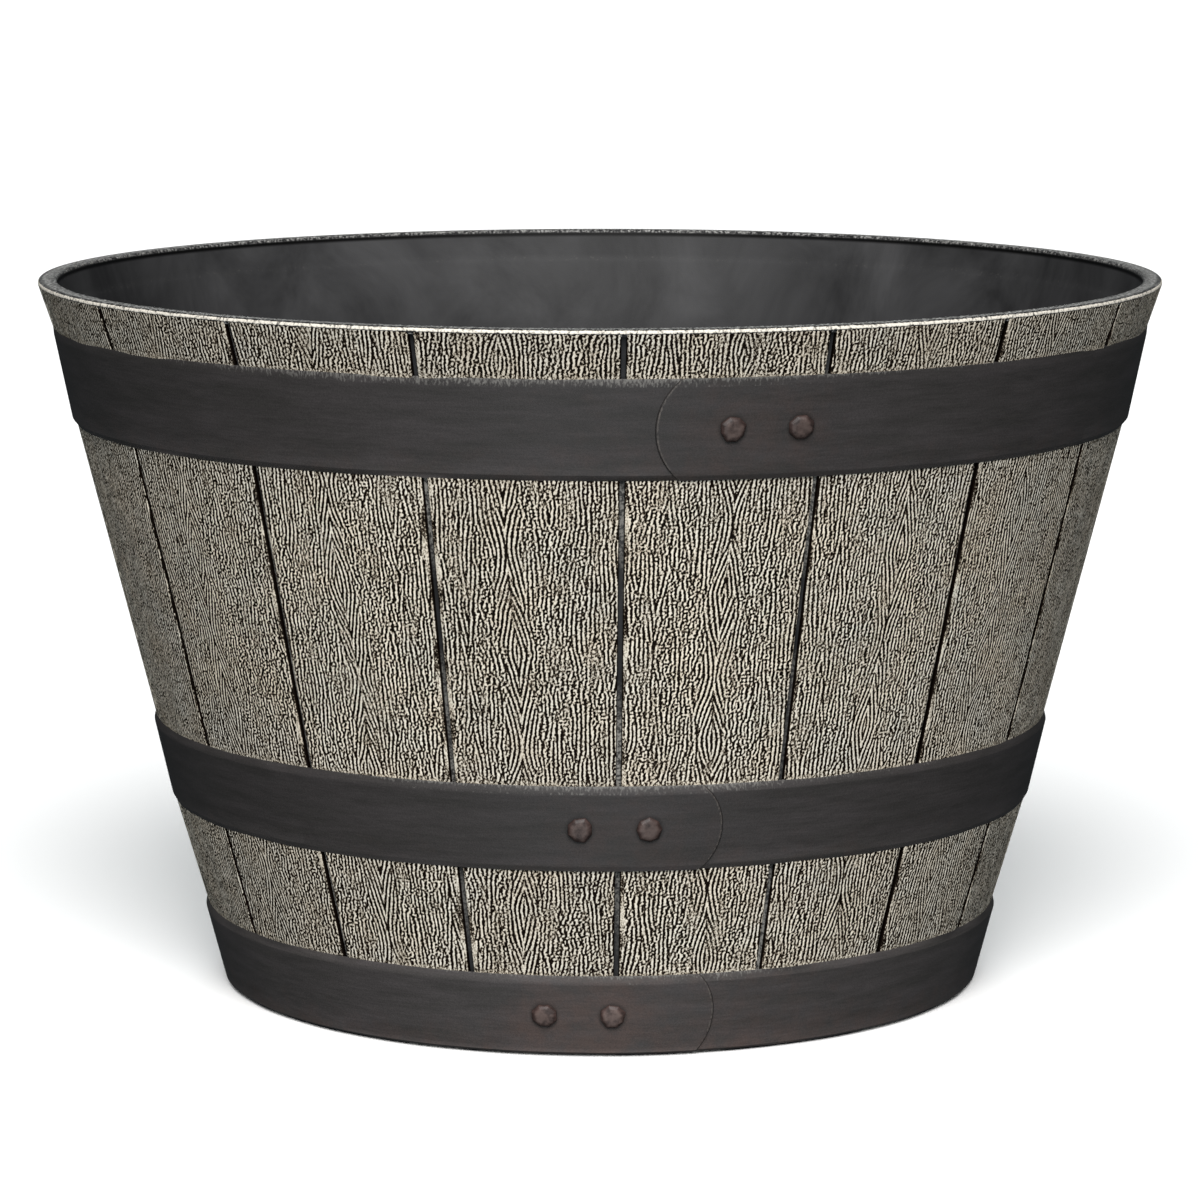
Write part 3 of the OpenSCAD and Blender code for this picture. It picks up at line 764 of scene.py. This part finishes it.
def hoop_lap(hoop):
    """The lapped strip: flat first, with x counted from the tip and y as the height, then bent."""
    low, high = hoop["low"], hoop["high"]
    middle = hoop["middle"]
    around_rivets = middle + np.arange(-FINE_REACH, FINE_REACH + 0.1, FINE_STEP) * MM
    rows = np.array([low, *np.linspace(low + hoop["slope"] * 0.5, low + hoop["slope"], 3),
                     *np.linspace(low + hoop["slope"], around_rivets[0], 5)[1:-1], *around_rivets,
                     *np.linspace(around_rivets[-1], high - TOP_SLOPE - 0.8 * MM, 5)[1:],
                     *np.linspace(high - TOP_SLOPE, high, 4)])
    reach = np.radians(LAP_ARC) * float(hoop_face(hoop, middle))
    past_rivets = hoop["rivet"] + RIVET_PITCH + FINE_REACH * MM
    columns = np.array([0, 0.3 * MM, 0.6 * MM, 1.2 * MM, 1.8 * MM,
                        *np.linspace(3 * MM, hoop["rivet"] - FINE_REACH * MM, 8)[:-1],
                        *np.arange(hoop["rivet"] - FINE_REACH * MM, past_rivets, FINE_STEP * MM),
                        *np.linspace(past_rivets, reach, 50)])
    drop = np.zeros(len(columns))
    drop[:3] = -0.6 * MM, -0.3 * MM, -0.06 * MM
    bpy.ops.object.select_all(action="DESELECT")
    bpy.ops.mesh.primitive_grid_add(x_subdivisions=len(columns) - 1,
                                    y_subdivisions=len(rows) - 1, size=2)
    lap = bpy.context.object
    flat = read_points(lap.data)
    column = np.rint((flat[:, 0] + 1) / 2 * (len(columns) - 1)).astype(int)
    row = np.rint((flat[:, 1] + 1) / 2 * (len(rows) - 1)).astype(int)
    tip = hoop["round"] - np.sqrt(hoop["round"]**2 - (rows[row] - middle)**2)
    flat[:, 0] = tip + columns[column] * (1 - tip / reach)
    flat[:, 1] = rows[row]
    flat[:, 2] = drop[column]
    write_points(lap.data, flat)
    from_tip = columns[column] / MM
    # edge: where the painted highlight along the lap's tip lies
    write_attributes(lap.data, edge=np.interp(from_tip, [0.3, 0.6, 1.2, 1.8], [0, 1, 0.9, 0]),
                     # gap: a painted shadow on the lap's rounded tip
                     gap=np.interp(from_tip, [0.3, 0.6], [0.5, 0]))
    beyond = flat[:, 0] / float(hoop_face(hoop, middle))
    turn = math.radians(hoop["tip"]) + hoop["way"] * beyond
    # Its far end lies a tenth of a millimetre inside the hoop
    sunk = 0.1 * MM * np.degrees(beyond) / LAP_ARC
    radius = hoop_face(hoop, flat[:, 1]) + lap_lift(np.degrees(beyond)) + flat[:, 2] - sunk
    write_points(lap.data, np.stack([radius * np.sin(turn), -radius * np.cos(turn), flat[:, 1]], 1))
    if hoop["way"] < 0:
        in_edit_mode(lap, bpy.ops.mesh.flip_normals)
    apply_modifier(lap, "SOLIDIFY", thickness=1.4 * MM, offset=-1)
    return lap


# %% [markdown]
# The straps are painted charcoal and then brushed along with a little rust brown, most of it round the
# rivets, along the lower edges and on the lower hoop. The grey wash of the staves dripped over their
# sloping top edges, more at the front and the back than at the sides, with a painted highlight where the
# slope meets the face. The lap's tip is made paler, rubbed paint with a painted highlight, beside a
# painted shadow on its rounded tip, and painted shade darkens a ring round each rivet head. The sloping
# lower edges and the whole lower hoop are painted lighter, as painted light from below.

# %% Charcoal and rust hoop paint
def hoop_paint():
    material, add = new_material("brushed_charcoal_paint_on_polypropylene")
    place = add("TexCoord").outputs["Object"]
    rust, spray, edge, grime, tone = (
        add("Attribute", attribute_name=name).outputs["Fac"]
        for name in ("rust", "spray", "edge", "grime", "tone"))
    # Brush marks about 1 mm high and 11 mm long, and softer ones four to six times as large
    along = add("Mapping", {"Vector": place, "Scale": (90, 90, 1100)})
    brushed = add("TexNoise", {"Vector": along, "Scale": 1, "Detail": 3})
    broad = add("Mapping", {"Vector": place, "Scale": (24, 24, 190)})
    smears = add("TexNoise", {"Vector": broad, "Scale": 1, "Detail": 4})
    coat = add("ValToRGB", {"Fac": smears}, stops=[(0.35, "2a2827"), (0.70, "322f2f")])
    streaks = add("MapRange", {"Value": brushed, "From Min": 0.3, "From Max": 0.75, "To Min": 0.9,
                               "To Max": 1.12})
    # The paint's own stipple, in grains of 0.7 mm
    stipple = add("TexNoise", {"Vector": place, "Scale": 1500, "Detail": 2})
    grains = add("MapRange", {"Value": stipple, "From Min": 0.3, "From Max": 0.7, "To Min": 0.84,
                              "To Max": 1.16})
    shade = add("Math", {0: streaks, 1: grains}, operation="MULTIPLY")
    toned = add("Math", {0: shade, 1: tone}, operation="MULTIPLY")
    blots = add("TexNoise", {"Vector": place, "Scale": 110, "Detail": 5, "Roughness": 0.65})
    rusting = add("Math", {0: blots, 1: rust}, operation="MULTIPLY")
    rusted = add("MapRange", {"Value": rusting, "From Min": 0.30, "From Max": 0.75, "To Max": 0.6})
    rusty = add("Mix", {0: rusted, 6: coat, 7: linear("3b2f2b")}, data_type="RGBA")
    brown = add("HueSaturation", {"Color": rusty, "Value": toned})
    # Drips 0.9 mm wide and twice as long, thicker in some 60 mm lengths than in others
    drawn = add("Mapping", {"Vector": place, "Scale": (1150, 1150, 520)})
    drops = add("TexNoise", {"Vector": drawn, "Scale": 1, "Detail": 2})
    bursts = add("TexNoise", {"Vector": place, "Scale": 16, "Detail": 2})
    amount = add("MapRange", {"Value": bursts, "From Min": 0.35, "From Max": 0.65, "To Min": 0.8,
                              "To Max": 1.05})
    blown = add("Math", {0: amount, 1: spray}, operation="MULTIPLY")
    sprayed = add("Math", {0: drops, 1: blown}, operation="MULTIPLY")
    dusted = add("MapRange", {"Value": sprayed, "From Min": 0.46, "From Max": 0.66})
    pale = add("Mix", {0: dusted, 6: brown, 7: linear("5e5c59")}, data_type="RGBA")
    # The lap's tip is made paler: rubbed paint with a painted highlight
    rubbing = add("Math", {0: drops, 1: edge}, operation="MULTIPLY")
    rubbed = add("MapRange", {"Value": rubbing, "From Min": 0.35, "From Max": 0.65})
    base = add("Mix", {0: rubbed, 6: pale, 7: linear("56514d")}, data_type="RGBA")
    # Painted shade: the paint is darkened round each rivet head and on the lap's rounded tip
    dirty = add("Mix", {0: grime, 6: base, 7: linear("0d0b0a")}, data_type="RGBA")
    shine = add("MapRange", {"Value": brushed, "To Min": 0.46, "To Max": 0.62})
    bump = add("Bump", {"Height": stipple, "Strength": 0.3, "Distance": 0.0002})
    skin = add("BsdfPrincipled", {"Base Color": dirty, "Roughness": shine, "IOR": 1.49,
                                  "Specular IOR Level": 0.28, "Normal": bump})
    add("OutputMaterial", {"Surface": skin})
    return material


HOOP_PAINT = hoop_paint()


def rivet_angle(hoop, number):
    """Face angle of one of a lap's two rivets."""
    turn = (hoop["rivet"] + number * RIVET_PITCH) / flat_face(hoop, hoop["middle"])
    return hoop["tip"] + hoop["way"] * math.degrees(turn)


def make_hoop(name, hoop):
    ring = joined(hoop_ring(f"{name}_hoop_strap", hoop), hoop_lap(hoop))
    bpy.ops.object.shade_smooth_by_angle(angle=math.radians(40))
    points = read_points(ring.data)
    angle = np.degrees(np.arctan2(points[:, 0], -points[:, 1]))
    radius = np.hypot(points[:, 0], points[:, 1])
    rust = np.zeros(len(points))
    grime = np.zeros(len(points))
    for number in (0, 1):
        off = np.radians(angle - rivet_angle(hoop, number)) * radius
        away = np.hypot(off, points[:, 2] - hoop["middle"])
        rust += np.exp(-(away / (16 * MM))**2)
        # A ring of painted shade round each rivet head
        grime += np.interp(away, [HEAD_RADIUS, HEAD_RADIUS + 1.2 * MM], [0.48, 0])
    # The lap's painted tip shadow, read back to join the rivets' painted shade
    gap = np.empty(len(points), dtype=np.float32)
    ring.data.attributes["gap"].data.foreach_get("value", gap)
    rust += 0.35 * np.exp(-(np.radians(angle - hoop["tip"]) * radius / (70 * MM))**2)
    rust += 0.5 * np.clip(1 - (points[:, 2] - hoop["low"]) / (20 * MM), 0, 1)
    # More wash dripped on at the front and the back than at the sides
    dripped = hoop["spray"] * (0.64 + 0.36 * np.cos(np.radians(2 * angle)))
    below = (hoop["high"] - points[:, 2]) / MM
    # The drips thin in the middle of the slope and thicken again 3.5 mm down: a painted highlight along
    # the corner with the face
    dripped = dripped * np.interp(below, [0, 1.0, 2.2, 3.5, 4.3], [1.4, 1.05, 0.8, 0.95, 0])
    # Painted light: the sloping lower edge is made lighter, as if lit from below
    slope_end = hoop["low"] + hoop["slope"]
    low_edge = np.interp(points[:, 2], [hoop["low"], slope_end, slope_end + MM], [1.5, 1.5, 1])
    write_attributes(ring.data, rust=0.46 + hoop["rust"] * rust, spray=dripped,
                     grime=np.clip(grime + gap, 0, 1), tone=hoop["tone"] * low_edge)
    # Hand-beaten iron is never quite round: swells of 0.1 mm
    swell = 0.1 * MM * (np.sin(np.radians(angle) * 9 + 1) + np.sin(np.radians(angle) * 23))
    outer = radius > flat_face(hoop, points[:, 2]) - STRAP_THICKNESS + 0.3 * MM
    points[:, :2] *= (1 + swell * outer / radius)[:, None]
    write_points(ring.data, points)
    ring.data.materials.clear()
    ring.data.materials.append(HOOP_PAINT)
    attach(ring, "barrel")
    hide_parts(f"{name}_hoop")
    report(ring)


for name, hoop in HOOPS.items():
    make_hoop(name, hoop)

# %% [markdown]
# ## Rivets
# Each lap is closed by two rivets with low eight-sided heads, hammered by hand in the pattern that the
# mould was made from. One head is shaped from an eight-sided cylinder, and each of the six copies gets
# dents of its own.

# %% Hammered rivet heads
def rivet_paint():
    material, add = new_material("rust_brown_paint_on_polypropylene")
    place = add("TexCoord").outputs["Object"]
    worn, tone = (add("Attribute", attribute_name=name).outputs["Fac"]
                  for name in ("worn", "tone"))
    # Blots of 3 mm
    blots = add("TexNoise", {"Vector": place, "Scale": 330, "Detail": 4})
    coat = add("ValToRGB", {"Fac": blots}, stops=[(0.36, "241b19"), (0.66, "392b28")])
    rubbing = add("Math", {0: blots, 1: worn}, operation="MULTIPLY")
    rubbed = add("MapRange", {"Value": rubbing, "From Min": 0.3, "From Max": 0.6, "To Max": 0.7})
    brushed = add("Mix", {0: rubbed, 6: coat, 7: linear("4b403c")}, data_type="RGBA")
    base = add("HueSaturation", {"Color": brushed, "Value": tone})
    bump = add("Bump", {"Height": blots, "Strength": 0.4, "Distance": 0.0004})
    skin = add("BsdfPrincipled", {"Base Color": base, "Roughness": 0.5, "IOR": 1.49,
                                  "Specular IOR Level": 0.35, "Normal": bump})
    add("OutputMaterial", {"Surface": skin})
    return material


RIVET_PAINT = rivet_paint()


def rivet_head():
    """One head at the origin, looking along Z."""
    bpy.ops.object.select_all(action="DESELECT")
    bpy.ops.mesh.primitive_cylinder_add(vertices=8, radius=HEAD_RADIUS, depth=HEAD_SUNK + HEAD_HEIGHT / 3,
                                        location=(0, 0, (HEAD_HEIGHT / 3 - HEAD_SUNK) / 2))
    head = bpy.context.object
    bpy.ops.object.transform_apply(location=True)
    in_edit_mode(head, lambda: bpy.ops.mesh.select_all(action="DESELECT"))
    for face in head.data.polygons:
        face.select = face.normal.z > 0.9
    bpy.ops.object.mode_set(mode="EDIT")
    bpy.ops.mesh.extrude_region_move(TRANSFORM_OT_translate={"value": (0, 0, HEAD_HEIGHT * 0.5)})
    bpy.ops.transform.resize(value=(0.78, 0.78, 1))
    bpy.ops.mesh.extrude_region_move(TRANSFORM_OT_translate={"value": (0, 0, HEAD_HEIGHT * 0.17)})
    bpy.ops.transform.resize(value=(0.72, 0.72, 1))
    bpy.ops.mesh.inset(thickness=0.8 * MM)
    bpy.ops.object.mode_set(mode="OBJECT")
    apply_modifier(head, "BEVEL", width=0.35 * MM, segments=2, limit_method="ANGLE",
                   angle_limit=math.radians(12))
    return head


def make_rivets(pattern, name, hoop):
    heads = []
    for number in (0, 1):
        chance = np.random.default_rng([number, len(name)])
        copy = copy_of(pattern, f"{name}_rivet_heads")
        points = read_points(copy.data)
        worn = np.clip(points[:, 2] / HEAD_HEIGHT, 0, 1)
        # Hammer dents: the whole head leans and its corners move by up to half a millimetre
        turn = np.arctan2(points[:, 1], points[:, 0])
        for wave in (1, 2, 3, 5):
            shift = chance.uniform(-0.045, 0.045) * np.sin(wave * turn + chance.uniform(0, 6.3))
            points[:, :2] *= (1 + shift)[:, None]
        lean = chance.uniform(-0.06, 0.06, 2)
        points[:, 2] += (points[:, 0] * lean[0] + points[:, 1] * lean[1]) * (points[:, 2] > 0)
        angle = rivet_angle(hoop, number)
        middle = hoop["middle"]
        beyond = abs(angle - hoop["tip"])
        seat = float(hoop_face(hoop, middle) + lap_lift(beyond))
        tilt = math.atan2(hoop_face(hoop, middle + MM) - hoop_face(hoop, middle - MM), 2 * MM)
        stand = (Matrix.Translation(around(angle, seat, middle))
                 @ Matrix.Rotation(math.radians(angle), 4, "Z")
                 @ Matrix.Rotation(math.radians(90) + tilt, 4, "X")
                 @ Matrix.Rotation(chance.uniform(0, 0.7), 4, "Z"))
        stand = np.array(stand)
        write_points(copy.data, points @ stand[:3, :3].T + stand[:3, 3])
        # They are about as light as their strap
        write_attributes(copy.data, worn=worn, tone=np.full(len(points), hoop["tone"] * 1.03))
        heads.append(copy)
    pair = joined(*heads)
    bpy.ops.object.shade_smooth_by_angle(angle=math.radians(25))
    pair.data.materials.clear()
    pair.data.materials.append(RIVET_PAINT)
    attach(pair, "barrel")
    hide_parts(f"{name}_rivets")
    report(pair)


pattern = rivet_head()
for name, hoop in HOOPS.items():
    make_rivets(pattern, name, hoop)
bpy.data.objects.remove(pattern)

# %% [markdown]
# ## Drain plugs
# The plugs are moulded rubber, matt and black, with softened edges from a worn mould. The CAD's own
# plugs have the right shape but sharp edges, so a merged copy of each is bevelled.

# %% Rubber plugs
def plug_rubber():
    material, add = new_material("moulded_black_rubber")
    place = add("TexCoord").outputs["Object"]
    # Bloom, the grey dust of rubber, in patches of 6 mm, and a skin of 0.4 mm grains
    bloom = add("TexNoise", {"Vector": place, "Scale": 170, "Detail": 4})
    coat = add("ValToRGB", {"Fac": bloom}, stops=[(0.35, "1c1c1d"), (0.75, "343436")])
    shine = add("MapRange", {"Value": bloom, "To Min": 0.55, "To Max": 0.75})
    grains = add("TexNoise", {"Vector": place, "Scale": 2500, "Detail": 1})
    bump = add("Bump", {"Height": grains, "Strength": 0.2, "Distance": 0.0001})
    skin = add("BsdfPrincipled", {"Base Color": coat, "Roughness": shine, "IOR": 1.52, "Normal": bump})
    add("OutputMaterial", {"Surface": skin})
    return material


PLUG_RUBBER = plug_rubber()
for number in range(1, 5):
    plug = copy_of(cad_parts[f"drain_plug_{number}"], f"rubber_plug_{number}")
    plug.parent = None
    in_edit_mode(plug, lambda: bpy.ops.mesh.remove_doubles(threshold=1e-6),
                 lambda: bpy.ops.mesh.dissolve_limited(angle_limit=math.radians(1)))
    apply_modifier(plug, "BEVEL", width=0.4 * MM, segments=3, limit_method="ANGLE",
                   angle_limit=math.radians(28))
    bpy.ops.object.shade_smooth_by_angle(angle=math.radians(35))
    plug.data.materials.clear()
    plug.data.materials.append(PLUG_RUBBER)
    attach(plug, f"plug_{number}")
    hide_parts(f"drain_plug_{number}")
    report(plug)

# %% [markdown]
# ## Paper floor
# A roll of white paper: matt, and bright enough to pass for the photograph's plain ground.

# %% Paper
paper, add = new_material("white_background_paper")
sheet = add("BsdfPrincipled", {"Base Color": linear("fefefe"), "Roughness": 0.9})
add("OutputMaterial", {"Surface": sheet})
floor.data.materials.append(paper)

# %% [markdown]
# ## Size
# The dressed tub must keep the size of the CAD model, so both boxes are printed.

# %% Write the sizes and finish
low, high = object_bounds()
print("visual box (m):", [round(v, 4) for v in (*low, *high)])
counts = [sum(face.loop_total - 2 for face in piece.data.polygons) for piece in bpy.data.objects
          if piece.type == "MESH" and piece not in (floor, *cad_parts.values())]
print("pieces:", len(counts), "triangles in all:", sum(counts), "and most in one:", max(counts))
